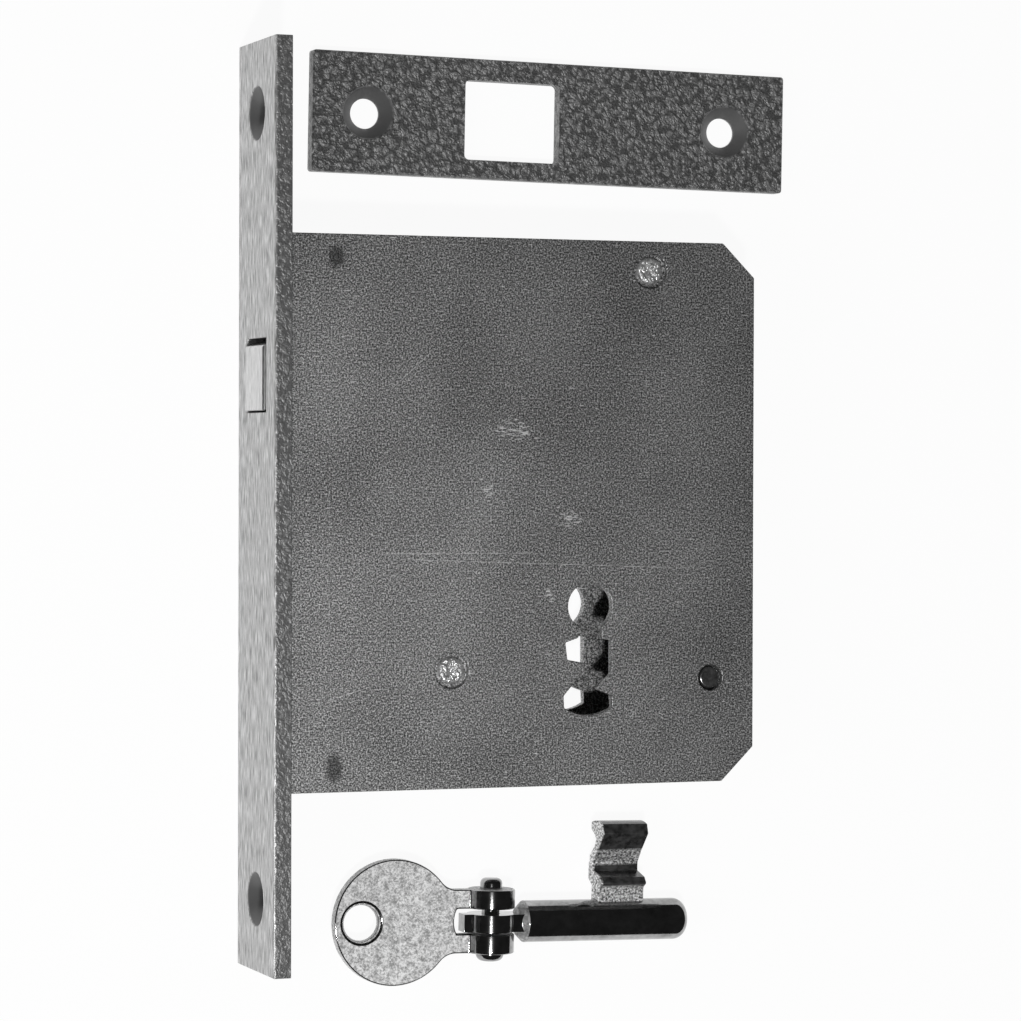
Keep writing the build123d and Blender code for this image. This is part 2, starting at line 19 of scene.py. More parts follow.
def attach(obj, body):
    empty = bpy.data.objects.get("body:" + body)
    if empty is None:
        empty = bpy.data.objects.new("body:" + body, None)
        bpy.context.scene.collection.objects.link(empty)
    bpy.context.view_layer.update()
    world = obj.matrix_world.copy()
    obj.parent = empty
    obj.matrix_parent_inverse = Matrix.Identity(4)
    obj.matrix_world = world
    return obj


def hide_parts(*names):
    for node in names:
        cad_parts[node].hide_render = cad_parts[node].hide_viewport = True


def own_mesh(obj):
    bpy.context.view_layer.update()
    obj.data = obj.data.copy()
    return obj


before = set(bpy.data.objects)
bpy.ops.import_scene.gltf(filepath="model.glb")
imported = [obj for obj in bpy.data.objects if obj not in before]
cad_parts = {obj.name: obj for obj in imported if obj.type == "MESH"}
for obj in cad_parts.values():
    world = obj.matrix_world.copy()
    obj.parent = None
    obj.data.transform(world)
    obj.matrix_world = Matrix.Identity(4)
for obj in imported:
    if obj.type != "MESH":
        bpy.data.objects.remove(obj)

log = logging.getLogger("sliding_door_lock")
MM = 0.001
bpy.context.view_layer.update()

Point = tuple[float, float, float]
Spot = tuple[float, float]
Span = tuple[float, float]
Mark = tuple[float, float, float, float]
Stops = tuple[tuple[float, str], ...]
Tree = bpy.types.NodeTree
Socket = bpy.types.NodeSocket

WHITE = (1.0, 1.0, 1.0, 1.0)

# The sRGB curve: a straight foot up to the knee, and a power above it
SRGB_KNEE = 0.04045
SRGB_FOOT = 12.92
SRGB_OFFSET = 0.055
SRGB_POWER = 2.4

# The Mix node's sockets by number, because several of them share a name
SHARE, VALUE_A, VALUE_B, COLOUR_A, COLOUR_B = 0, 2, 3, 6, 7
MIXED_VALUE, MIXED_COLOUR = 0, 2

# How a copied CAD mesh is cleaned and smoothed; the weld is in metres
WELD = 1e-6
SAME_FACE = math.radians(0.4)
SMOOTH_BELOW = math.radians(30)
EDGE_ABOVE = math.radians(35)
EDGE_STEPS = 2
FLAT_FACE_WEIGHT = 100


# Helpers that every piece and finish uses


def linear(code: str) -> tuple[float, float, float, float]:
    """Turns an sRGB hex colour into the linear colour that a shader takes.

    Args:
        code: six hex digits, such as "8a8a8a".

    Returns:
        Red, green, blue and an alpha of 1.
    """
    values = []
    for i in (0, 2, 4):
        c = int(code[i:i + 2], 16) / 255
        above = ((c + SRGB_OFFSET) / (1 + SRGB_OFFSET)) ** SRGB_POWER
        values.append(c / SRGB_FOOT if c <= SRGB_KNEE else above)
    return (values[0], values[1], values[2], 1.0)


def add_node(tree: Tree, kind: str, inputs: dict[Any, Any] | None = None, stops: Stops = (),
             **settings: Any) -> bpy.types.Node:
    """Adds one node, sets it up, and fills or links its inputs.

    Args:
        tree: the node tree that gets the node.
        kind: the node's type name.
        inputs: input name or number, and a value or the output socket to link from.
        stops: place and sRGB hex colour of each stop, for a node with a colour ramp.
        settings: properties of the node itself.

    Returns:
        The new node.
    """
    node = tree.nodes.new(kind)
    for name, value in settings.items():
        setattr(node, name, value)
    for key, value in (inputs or {}).items():
        if isinstance(value, Socket):
            tree.links.new(value, node.inputs[key])
        else:
            node.inputs[key].default_value = value
    for i, (place, code) in enumerate(stops):
        elements = node.color_ramp.elements
        element = elements[i] if i < len(elements) else elements.new(place)
        element.position = place
        element.color = linear(code)
    return node


# Finishes


class Finish(Enum):
    """The finishes of the lock, the strike plate and the key."""

    FOREND = "hammered_enamel_forend"
    STRIKE = "hammered_enamel_strike"
    CASE = "dulled_zinc_sheet"
    BOLT = "ground_steel"
    ZINC = "bright_zinc_screw"
    INNER = "plain_zinc_steel"
    PIN = "turned_pin_steel"
    SPRING = "blued_spring_steel"
    BOW = "blasted_nickel_bow"
    SHANK = "polished_dark_nickel"
    BIT = "cast_dark_nickel"
    SAWN = "sawn_dull_nickel"


@dataclass(frozen=True)
class Grain:
    """The grain of a surface: its real size, its octaves and how strong the fine ones are."""

    size: float
    octaves: float = 2.0
    roughness: float = 0.5

    @classmethod
    def crisp(cls, size: float) -> "Grain":
        """Gives the grain of crystals and grit."""
        return cls(size, 2.0, 0.7)

    @classmethod
    def soft(cls, size: float) -> "Grain":
        """Gives the grain of mottles."""
        return cls(size, 3.0, 0.6)

    def inputs(self, place: Socket) -> dict[str, Any]:
        """Gives the inputs that a noise texture needs to draw the grain."""
        return {"Vector": place, "Scale": 1 / self.size, "Detail": self.octaves, "Roughness": self.roughness}


@dataclass(frozen=True)
class Surface:
    """What every finish shares: how metallic and how rough it is, and its relief."""

    metallic: float
    roughness: float
    depth: float = 0.01
    relief: float = 1.0

    def pattern(self, tree: Tree, place: Socket) -> dict[str, Socket]:
        """Draws the finish's pattern. Each finish has its own.

        Args:
            tree: the material's node tree.
            place: object coordinates in millimetres.

        Returns:
            The relief as Height, and the rest by the name of the shader's socket that it feeds.
        """
        raise NotImplementedError

    def build(self, name: str) -> bpy.types.Material:
        """Makes the material.

        Args:
            name: the material's name.

        Returns:
            The material, with its pattern and relief.
        """
        material = bpy.data.materials.new(name)
        material.use_nodes = True
        tree = material.node_tree
        shader = tree.nodes["Principled BSDF"]
        shader.inputs["Metallic"].default_value = self.metallic
        shader.inputs["Roughness"].default_value = self.roughness
        place = add_node(tree, "ShaderNodeTexCoord").outputs["Object"]
        in_mm = add_node(tree, "ShaderNodeVectorMath", {0: place, 1: (1 / MM, 1 / MM, 1 / MM)},
                         operation="MULTIPLY").outputs["Vector"]
        drawn = self.pattern(tree, in_mm)
        drawn["Normal"] = add_node(tree, "ShaderNodeBump", {"Height": drawn.pop("Height"), "Distance":
                                   self.depth * MM, "Strength": self.relief}).outputs["Normal"]
        for socket, value in drawn.items():
            tree.links.new(value, shader.inputs[socket])
        return material


@dataclass(frozen=True)
class HammeredEnamel(Surface):
    """Hammer finish stoving enamel: flake in a lacquer that draws up into cells as it dries.

    It gives the eye rounded pebbles about a millimetre across, a dull metal sheen, and a smooth,
    darker film in the countersinks, where it ran thin. The dark seams between the pebbles and their
    pale crests are painted shade and painted highlight. On the forend's front face it is drawn out
    into fine upright streaks, painted much lighter than the top faces as painted light.
    """

    depth: float = 0.16
    cell: float = 1.0
    cell_blur: float = 0.35
    cell_stretch: float = 1.0
    pebble: Span = (0.15, 0.75)
    warp: Grain = Grain(1 / 1.1)
    warp_by: float = 0.5
    ruffle: Grain = Grain(1 / 3.2, 3.0, 0.65)
    ruffle_share: float = 0.7
    tone_range: Span = (0.1, 1.5)
    # Seams, middle and crests: painted shade in the seams and painted highlight on the crests, over the
    # enamel's own grey
    tones: Stops = ((0.08, "464646"), (0.36, "777777"), (0.95, "969696"))
    film: str = "707070"
    film_radius: float = 4.45
    film_fade: Span = (-0.25, 0.1)
    hole_plane: Point = (1.0, 1.0, 0.0)
    holes: tuple[Point, ...] = ()
    front_streaks: bool = False
    front_depth: Span = (0.12, 0.5)
    streak: Grain = Grain(1 / 2.6, 3.0, 0.6)
    streak_stretch: float = 0.12
    # The front face's streaks are far lighter than the enamel's top: painted light on that face
    painted_light_streak_tones: Stops = ((0.34, "7c7c7c"), (0.66, "dedede"))
    streak_relief: float = 0.45

    def pattern(self, tree: Tree, place: Socket) -> dict[str, Socket]:
        """Draws the pebbles, the ruffles on them and the film in the countersinks.

        Args:
            tree: the material's node tree.
            place: object coordinates in millimetres.

        Returns:
            The colour and the relief.
        """
        warp = add_node(tree, "ShaderNodeTexNoise", self.warp.inputs(place),
                        normalize=False).outputs["Color"]
        bent = add_node(tree, "ShaderNodeVectorMath", {0: warp, 1: (self.warp_by,) * 3, 2: place},
                        operation="MULTIPLY_ADD").outputs["Vector"]
        drawn = add_node(tree, "ShaderNodeMapping", {"Vector": bent, "Scale": (1.0, self.cell_stretch, 1.0)}
                         ).outputs["Vector"]
        cells = add_node(tree, "ShaderNodeTexVoronoi", {"Vector": drawn, "Scale": 1 / self.cell,
                         "Smoothness": self.cell_blur}, feature="SMOOTH_F1").outputs["Distance"]
        ruffle = add_node(tree, "ShaderNodeTexNoise", self.ruffle.inputs(place)).outputs["Fac"]
        pebble = add_node(tree, "ShaderNodeMapRange", {"Value": cells, "From Min": self.pebble[0],
                          "From Max": self.pebble[1], "To Min": 1.0, "To Max": 0.0},
                          interpolation_type="SMOOTHSTEP").outputs["Result"]
        ruffled = add_node(tree, "ShaderNodeMath", {0: ruffle, 1: self.ruffle_share, 2: pebble},
                           operation="MULTIPLY_ADD").outputs[0]
        tone = add_node(tree, "ShaderNodeMapRange", {"Value": ruffled, "From Min": self.tone_range[0],
                        "From Max": self.tone_range[1]}).outputs["Result"]
        # The ramp paints shade into the seams and highlight onto the crests
        colour = add_node(tree, "ShaderNodeValToRGB", {0: tone}, stops=self.tones).outputs["Color"]
        thick = self.away_from_holes(tree, place)
        filmed = add_node(tree, "ShaderNodeMix", {SHARE: thick, COLOUR_A: linear(self.film),
                          COLOUR_B: colour}, data_type="RGBA").outputs[MIXED_COLOUR]
        height = add_node(tree, "ShaderNodeMath", {0: ruffled, 1: thick}, operation="MULTIPLY").outputs[0]
        if self.front_streaks:
            filmed, height = self.streaks(tree, place, filmed, height, thick)
        return {"Base Color": filmed, "Height": height}

    def away_from_holes(self, tree: Tree, place: Socket) -> Socket:
        """Gives 0 in the countersinks, where the enamel is thin, and 1 away from them.

        Args:
            tree: the material's node tree.
            place: object coordinates in millimetres.

        Returns:
            The share of the hammered look.
        """
        flat = add_node(tree, "ShaderNodeVectorMath", {0: place, 1: self.hole_plane},
                        operation="MULTIPLY").outputs["Vector"]
        least = None
        for hole in self.holes:
            gap = add_node(tree, "ShaderNodeVectorMath", {0: flat, 1: hole},
                           operation="DISTANCE").outputs["Value"]
            least = gap if least is None else add_node(
                tree, "ShaderNodeMath", {0: least, 1: gap}, operation="MINIMUM").outputs[0]
        fade_in, fade_out = self.film_fade
        return add_node(tree, "ShaderNodeMapRange", {"Value": least, "From Min": self.film_radius + fade_in,
                        "From Max": self.film_radius + fade_out}, interpolation_type="SMOOTHSTEP"
                        ).outputs["Result"]

    def streaks(self, tree: Tree, place: Socket, colour: Socket, height: Socket, thick: Socket
                ) -> tuple[Socket, Socket]:
        """Turns the enamel on the front face into fine upright streaks, painted lighter than the rest of the
        enamel as painted light.

        Args:
            tree: the material's node tree.
            place: object coordinates in millimetres.
            colour: the hammered colour.
            height: the hammered relief.
            thick: 0 in the countersinks and 1 away from them.

        Returns:
            The colour and the relief, with the front face streaked.
        """
        depth_in = add_node(tree, "ShaderNodeSeparateXYZ", {0: place}).outputs["X"]
        behind = add_node(tree, "ShaderNodeMapRange", {"Value": depth_in, "From Min": self.front_depth[0],
                          "From Max": self.front_depth[1]}).outputs["Result"]
        upright = add_node(tree, "ShaderNodeMapping", {"Vector": place, "Scale": (1.0, self.streak_stretch,
                           1.0)}).outputs["Vector"]
        lines = add_node(tree, "ShaderNodeTexNoise", self.streak.inputs(upright)).outputs["Fac"]
        # Painted light: the front face's streaks take the far lighter streak tones
        streaked = add_node(tree, "ShaderNodeValToRGB", {0: lines}, stops=self.painted_light_streak_tones).outputs["Color"]
        filmed = add_node(tree, "ShaderNodeMix", {SHARE: thick, COLOUR_A: linear(self.film),
                          COLOUR_B: streaked}, data_type="RGBA").outputs[MIXED_COLOUR]
        mixed = add_node(tree, "ShaderNodeMix", {SHARE: behind, COLOUR_A: filmed, COLOUR_B: colour},
                         data_type="RGBA").outputs[MIXED_COLOUR]
        low = add_node(tree, "ShaderNodeMath", {0: lines, 1: self.streak_relief},
                       operation="MULTIPLY").outputs[0]
        blend = add_node(tree, "ShaderNodeMix", {SHARE: behind, VALUE_A: low, VALUE_B: height},
                         data_type="FLOAT").outputs[MIXED_VALUE]
        return mixed, blend


@dataclass(frozen=True)
class DulledZincSheet(Surface):
    """Cold rolled steel sheet with a dulled zinc plate, pressed and much handled.

    It gives the eye a dark, even speckle of crystals a quarter of a millimetre across, soft
    cloudy tones, two soft dark stains over the weld marks, and bright scratches, some short
    and gathered in a few places, some long and faint.
    """

    depth: float = 0.06
    crystal: Grain = Grain(0.28, 2.0, 0.75)
    cloud: Grain = Grain(1 / 0.045, 3.0, 0.55)
    cloud_share: float = 0.12
    tones: Stops = ((0.35, "303030"), (0.5, "7e7e7e"), (0.65, "e6e6e6"))
    face_height: float = 7.0
    # Middle and half sizes of each stain, and below of each scratched place
    stains: tuple[Mark, ...] = ((11.3, 40.25, 1.5, 1.9), (11.1, -42.1, 1.5, 2.5))
    stain_fade: Span = (0.55, 1.25)
    stain_least: float = 0.3
    stain_tone: str = "2e2e2e"
    scratched: tuple[Mark, ...] = (
        (51.8, -2.2, 2.9, 1.8), (42.1, 12.6, 4.5, 2.2), (48.3, -14.3, 1.0, 1.6), (37.7, 2.7, 1.8, 1.2),
    )
    scratched_fade: Span = (0.3, 1.3)
    # Turn in radians, length and width of the short scratches
    strokes: tuple[tuple[float, float, float], ...] = ((0.9, 1.6, 0.28), (-0.7, 1.1, 0.30), (1.5, 2.2, 0.24))
    stroke: Grain = Grain(1.0, 1.0)
    stroke_level: Span = (0.60, 0.735)
    stroke_rise: float = 0.03
    stroke_share: float = 0.9
    scratch_tone: str = "f4f4f4"
    # Middle, half length and slope of each long scratch
    long_marks: tuple[Mark, ...] = (
        (48.0, -9.4, 26.0, -0.035), (33.0, -7.6, 14.0, 0.0), (24.0, 22.0, 5.0, 0.9),
        (66.0, -31.0, 6.0, 1.2), (14.0, -30.0, 4.0, 0.3), (60.0, 30.0, 4.0, -0.6),
    )
    long_mark_half: float = 0.045
    long_mark_blur: float = 1.6
    long_mark_taper: float = 0.8
    long_mark_share: float = 0.75
    long_mark_breaks: Span = (0.36, 0.58)

    def pattern(self, tree: Tree, place: Socket) -> dict[str, Socket]:
        """Draws the crystals, the clouds, the stains and the scratches.

        Args:
            tree: the material's node tree.
            place: object coordinates in millimetres.

        Returns:
            The colour and the relief.
        """
        speckle = add_node(tree, "ShaderNodeTexNoise", self.crystal.inputs(place)).outputs["Fac"]
        cloud = add_node(tree, "ShaderNodeTexNoise", self.cloud.inputs(place)).outputs["Fac"]
        tone = add_node(tree, "ShaderNodeMath", {0: cloud, 1: self.cloud_share, 2: -self.cloud_share / 2},
                        operation="MULTIPLY_ADD").outputs[0]
        tone = add_node(tree, "ShaderNodeMath", {0: tone, 1: speckle}, operation="ADD").outputs[0]
        colour = add_node(tree, "ShaderNodeValToRGB", {0: tone}, stops=self.tones).outputs["Color"]
        clean = self.outside(tree, place, self.stains, self.stain_fade)
        clean = add_node(tree, "ShaderNodeMapRange", {"Value": clean, "To Min": self.stain_least}
                         ).outputs["Result"]
        colour = add_node(tree, "ShaderNodeMix", {SHARE: clean, COLOUR_A: linear(self.stain_tone),
                          COLOUR_B: colour}, data_type="RGBA").outputs[MIXED_COLOUR]
        colour = add_node(tree, "ShaderNodeMix", {SHARE: self.scratches(tree, place), COLOUR_A: colour,
                          COLOUR_B: linear(self.scratch_tone)}, data_type="RGBA").outputs[MIXED_COLOUR]
        return {"Base Color": colour, "Height": speckle}

    def outside(self, tree: Tree, place: Socket, spots: tuple[Mark, ...], fade: Span) -> Socket:
        """Gives 0 in oval spots on the case's face and 1 away from them.

        Args:
            tree: the material's node tree.
            place: object coordinates in millimetres.
            spots: the middle and the half width and height of each spot.
            fade: shares of the half size at which a spot starts to fade and has faded.

        Returns:
            The share outside the spots.
        """
        least = None
        for x, y, half_wide, half_high in spots:
            apart = add_node(tree, "ShaderNodeVectorMath", {0: place, 1: (x, y, self.face_height)},
                             operation="SUBTRACT").outputs["Vector"]
            oval = add_node(tree, "ShaderNodeVectorMath", {0: apart, 1: (1 / half_wide, 1 / half_high, 1.0)},
                            operation="MULTIPLY").outputs["Vector"]
            gap = add_node(tree, "ShaderNodeVectorMath", {0: oval}, operation="LENGTH").outputs["Value"]
            least = gap if least is None else add_node(
                tree, "ShaderNodeMath", {0: least, 1: gap}, operation="MINIMUM").outputs[0]
        return add_node(tree, "ShaderNodeMapRange", {"Value": least, "From Min": fade[0],
                        "From Max": fade[1]}, interpolation_type="SMOOTHSTEP").outputs["Result"]

    def scratches(self, tree: Tree, place: Socket) -> Socket:
        """Gives the strength of the bright scratches, and 0 between them.

        Args:
            tree: the material's node tree.
            place: object coordinates in millimetres.

        Returns:
            The scratches' strength.
        """
        total = None
        for turn, length, width in self.strokes:
            turned = add_node(tree, "ShaderNodeMapping", {"Vector": place, "Rotation": (0.0, 0.0, turn),
                              "Scale": (1 / length, 1 / width, 1.0)}).outputs["Vector"]
            lines = add_node(tree, "ShaderNodeTexNoise", self.stroke.inputs(turned)).outputs["Fac"]
            total = lines if total is None else add_node(
                tree, "ShaderNodeMath", {0: total, 1: lines}, operation="MAXIMUM").outputs[0]
        away = self.outside(tree, place, self.scratched, self.scratched_fade)
        level = add_node(tree, "ShaderNodeMapRange", {"Value": away, "To Min": self.stroke_level[0],
                         "To Max": self.stroke_level[1]}).outputs["Result"]
        over = add_node(tree, "ShaderNodeMath", {0: total, 1: level}, operation="SUBTRACT").outputs[0]
        marks = add_node(tree, "ShaderNodeMapRange", {"Value": over, "From Min": 0.0, "From Max":
                         self.stroke_rise, "To Max": self.stroke_share}).outputs["Result"]
        broken = add_node(tree, "ShaderNodeMapRange", {"Value": lines, "From Min": self.long_mark_breaks[0],
                          "From Max": self.long_mark_breaks[1]}).outputs["Result"]
        for x, y, half_length, slope in self.long_marks:
            along = add_node(tree, "ShaderNodeMapping", {"Vector": place, "Location": (x, y, 0.0),
                             "Rotation": (0.0, 0.0, math.atan(slope))}, vector_type="TEXTURE"
                             ).outputs["Vector"]
            axes = add_node(tree, "ShaderNodeSeparateXYZ", {0: along}).outputs
            aside = add_node(tree, "ShaderNodeMath", {0: axes["Y"]}, operation="ABSOLUTE").outputs[0]
            ahead = add_node(tree, "ShaderNodeMath", {0: axes["X"]}, operation="ABSOLUTE").outputs[0]
            thin = add_node(tree, "ShaderNodeMapRange", {"Value": aside, "From Max": self.long_mark_half,
                            "From Min": self.long_mark_half * self.long_mark_blur}).outputs["Result"]
            ends = add_node(tree, "ShaderNodeMapRange", {"Value": ahead, "From Min": half_length, "From Max":
                            half_length * self.long_mark_taper, "To Max": self.long_mark_share}
                            ).outputs["Result"]
            whole = add_node(tree, "ShaderNodeMath", {0: thin, 1: ends}, operation="MULTIPLY").outputs[0]
            mark = add_node(tree, "ShaderNodeMath", {0: whole, 1: broken}, operation="MULTIPLY").outputs[0]
            marks = add_node(tree, "ShaderNodeMath", {0: marks, 1: mark}, operation="MAXIMUM").outputs[0]
        return marks


@dataclass(frozen=True)
class GroundSteel(Surface):
    """Bright steel ground along one direction.

    It gives the eye a pale, even face with fine upright lines that blur what it mirrors. Real
    grinding lines are too fine to show, so they are drawn a quarter of a millimetre wide.
    """

    depth: float = 0.008
    relief: float = 0.8
    line: Grain = Grain(0.25, 2.0, 0.6)
    line_stretch: float = 0.12
    tones: Stops = ((0.3, "b4b4b4"), (0.7, "e6e6e6"))
    roughness_off: Span = (-0.08, 0.12)

    def pattern(self, tree: Tree, place: Socket) -> dict[str, Socket]:
        """Draws the grinding lines.

        Args:
            tree: the material's node tree.
            place: object coordinates in millimetres.

        Returns:
            The colour, the roughness and the relief.
        """
        along = add_node(tree, "ShaderNodeMapping", {"Vector": place, "Scale": (1.0, self.line_stretch, 1.0)}
                         ).outputs["Vector"]
        lines = add_node(tree, "ShaderNodeTexNoise", self.line.inputs(along)).outputs["Fac"]
        colour = add_node(tree, "ShaderNodeValToRGB", {0: lines}, stops=self.tones).outputs["Color"]
        smoother, rougher = (self.roughness + off for off in self.roughness_off)
        rough = add_node(tree, "ShaderNodeMapRange", {"Value": lines, "To Min": smoother, "To Max": rougher}
                         ).outputs["Result"]
        return {"Base Color": colour, "Roughness": rough, "Height": lines}


@dataclass(frozen=True)
class GrainedMetal(Surface):
    """A plated, blued or sawn metal with a grain and with mottles.

    What each one is made of and gives the eye stands beside it in the list of finishes. Where
    the real grain is too fine to show, it is drawn coarser.
    """

    dark: str = "8a8a8a"
    light: str = "b4b4b4"
    contrast: float = 0.2
    grain: Grain = Grain.crisp(0.8)
    mottle: Grain = Grain.soft(3.0)
    mottle_share: float = 0.4

    def pattern(self, tree: Tree, place: Socket) -> dict[str, Socket]:
        """Draws the grain and the mottles.

        Args:
            tree: the material's node tree.
            place: object coordinates in millimetres.

        Returns:
            The colour and the relief.
        """
        grain = add_node(tree, "ShaderNodeTexNoise", self.grain.inputs(place)).outputs["Fac"]
        mottle = add_node(tree, "ShaderNodeTexNoise", self.mottle.inputs(place)).outputs["Fac"]
        tone = add_node(tree, "ShaderNodeMix", {SHARE: self.mottle_share, VALUE_A: grain, VALUE_B: mottle},
                        data_type="FLOAT").outputs[MIXED_VALUE]
        stops = ((0.5 - self.contrast, self.dark), (0.5 + self.contrast, self.light))
        colour = add_node(tree, "ShaderNodeValToRGB", {0: tone}, stops=stops).outputs["Color"]
        return {"Base Color": colour, "Height": grain}


@dataclass(frozen=True)
class CastDarkNickel(Surface):
    """Black nickel over a raw casting, rubbed smooth where it works.

    It gives the eye a dark, smooth face, two rough bands and an end that sparkle with pale
    crystals, and faint mottles near the tip.
    """

    depth: float = 0.06
    crystal: Grain = Grain.crisp(0.36)
    crystal_tones: Stops = ((0.38, "3c3c3c"), (0.62, "ffffff"))
    crystal_roughness: float = 0.5
    mottle: Grain = Grain(1 / 0.9, 3.0)
    rubbed_tones: Stops = ((0.35, "343434"), (0.65, "646464"))
    bands: tuple[Span, ...] = ((-60.9, -58.2), (-67.2, -64.2))
    band_blur: float = 0.2
    end_at: float = 62.2
    end_blur: float = 0.1

    def pattern(self, tree: Tree, place: Socket) -> dict[str, Socket]:
        """Draws the rubbed faces and the raw bands and end.

        Args:
            tree: the material's node tree.
            place: object coordinates in millimetres.

        Returns:
            The colour, the roughness and the relief.
        """
        axes = add_node(tree, "ShaderNodeSeparateXYZ", {0: place}).outputs
        raw = add_node(tree, "ShaderNodeMapRange", {"Value": axes["X"], "From Min": self.end_at,
                       "From Max": self.end_at - self.end_blur}).outputs["Result"]
        for low, high in self.bands:
            middle, half = (low + high) / 2, (high - low) / 2
            off = add_node(tree, "ShaderNodeMath", {0: axes["Y"], 1: middle},
                           operation="SUBTRACT").outputs[0]
            off = add_node(tree, "ShaderNodeMath", {0: off}, operation="ABSOLUTE").outputs[0]
            band = add_node(tree, "ShaderNodeMapRange", {"Value": off, "From Min": half + self.band_blur,
                            "From Max": half - self.band_blur}).outputs["Result"]
            raw = add_node(tree, "ShaderNodeMath", {0: raw, 1: band}, operation="MAXIMUM").outputs[0]
        grain = add_node(tree, "ShaderNodeTexNoise", self.crystal.inputs(place)).outputs["Fac"]
        mottle = add_node(tree, "ShaderNodeTexNoise", self.mottle.inputs(place)).outputs["Fac"]
        crystals = add_node(tree, "ShaderNodeValToRGB", {0: grain},
                            stops=self.crystal_tones).outputs["Color"]
        rubbed = add_node(tree, "ShaderNodeValToRGB", {0: mottle}, stops=self.rubbed_tones).outputs["Color"]
        colour = add_node(tree, "ShaderNodeMix", {SHARE: raw, COLOUR_A: rubbed, COLOUR_B: crystals},
                          data_type="RGBA").outputs[MIXED_COLOUR]
        rough = add_node(tree, "ShaderNodeMapRange", {"Value": raw, "To Min": self.roughness,
                         "To Max": self.crystal_roughness}).outputs["Result"]
        height = add_node(tree, "ShaderNodeMath", {0: grain, 1: raw}, operation="MULTIPLY").outputs[0]
        return {"Base Color": colour, "Roughness": rough, "Height": height}


FINISHES: dict[Finish, Surface] = {
    # The forend's enamel: lower, smaller pebbles, drawn out along the plate, with weaker painted shade in
    # the seams and duller painted highlight on the crests, and a front face painted lighter as painted light
    Finish.FOREND: HammeredEnamel(
        metallic=0.5, roughness=0.42, depth=0.07, cell=0.7, cell_stretch=0.6, film="626262",
        tones=((0.08, "5c5c5c"), (0.36, "747474"), (0.95, "868686")), front_streaks=True,
        hole_plane=(0.0, 1.0, 1.0), holes=((0.0, 63.5, 0.0), (0.0, -63.5, 0.0))),
    # The strike plate's enamel: full, dark pebbles, with painted shade in the seams and painted highlight on
    # the crests
    Finish.STRIKE: HammeredEnamel(metallic=0.5, roughness=0.40,
                                  holes=((21.5, 65.02, 0.0), (85.9, 64.0, 0.0))),
    Finish.CASE: DulledZincSheet(metallic=0.75, roughness=0.45),
    Finish.BOLT: GroundSteel(metallic=1.0, roughness=0.34),
    # Zinc plated steel screws, cold headed: bright and slippery, with a milky bloom in the recess
    Finish.ZINC: GrainedMetal(metallic=0.7, roughness=0.28, depth=0.35, dark="8c8c8c", light="ffffff",
                              grain=Grain.crisp(0.7), mottle=Grain.soft(1.0)),
    # Zinc plated mild steel parts, sheared and turned: even grey with a soft bloom
    Finish.INNER: GrainedMetal(metallic=1.0, roughness=0.38),
    # A turned steel pin, riveted over: darker, with a dull rim
    Finish.PIN: GrainedMetal(metallic=0.9, roughness=0.26, dark="565656", light="a8a8a8",
                             grain=Grain.crisp(0.4), mottle=Grain.soft(1.5)),
    # Hardened spring steel, blued by heat: a dark, cool sheen
    Finish.SPRING: GrainedMetal(metallic=1.0, roughness=0.30, dark="3c3f48", light="585c66",
                                grain=Grain.crisp(1.2)),
    # Nickel on a blasted die casting: pale and soft, with a fine speckle and darker mottles
    Finish.BOW: GrainedMetal(metallic=0.15, roughness=0.45, depth=0.03, dark="949494", light="ffffff",
                             contrast=0.11, grain=Grain.crisp(0.34), mottle=Grain.soft(1.3),
                             mottle_share=0.35),
    # Polished black nickel on a turned bar: a dark mirror, pale only where it shows the table
    Finish.SHANK: GrainedMetal(metallic=1.0, roughness=0.10, depth=0.004, dark="7c7c7c",
                               grain=Grain.crisp(1.4), mottle=Grain.soft(5.0), mottle_share=0.5),
    Finish.BIT: CastDarkNickel(metallic=0.6, roughness=0.24),
    # The bar's sawn and plated end: dull, pale grey and coarse
    Finish.SAWN: GrainedMetal(metallic=0.6, roughness=0.45, depth=0.05, dark="5a5a5a", light="d8d8d8",
                              grain=Grain.crisp(0.4), mottle=Grain.soft(1.0), mottle_share=0.3),
}


class Dresser:
    """Keeps one material for each finish."""

    made: dict[Finish, bpy.types.Material] = {}

    @classmethod
    def material(cls, finish: Finish) -> bpy.types.Material:
        """Gives a finish's material, making it the first time.

        Args:
            finish: the finish.

        Returns:
            Its material.
        """
        if finish not in cls.made:
            cls.made[finish] = FINISHES[finish].build(finish.value)
        return cls.made[finish]

    @classmethod
    def paint(cls, node: str, finish: Finish) -> None:
        """Gives a CAD node a finish by its material slots.

        Args:
            node: the CAD node's name.
            finish: the finish.
        """
        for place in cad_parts[node].material_slots:
            place.material = cls.material(finish)
        log.info("%s finished as %s", node, finish.value)


# Pieces


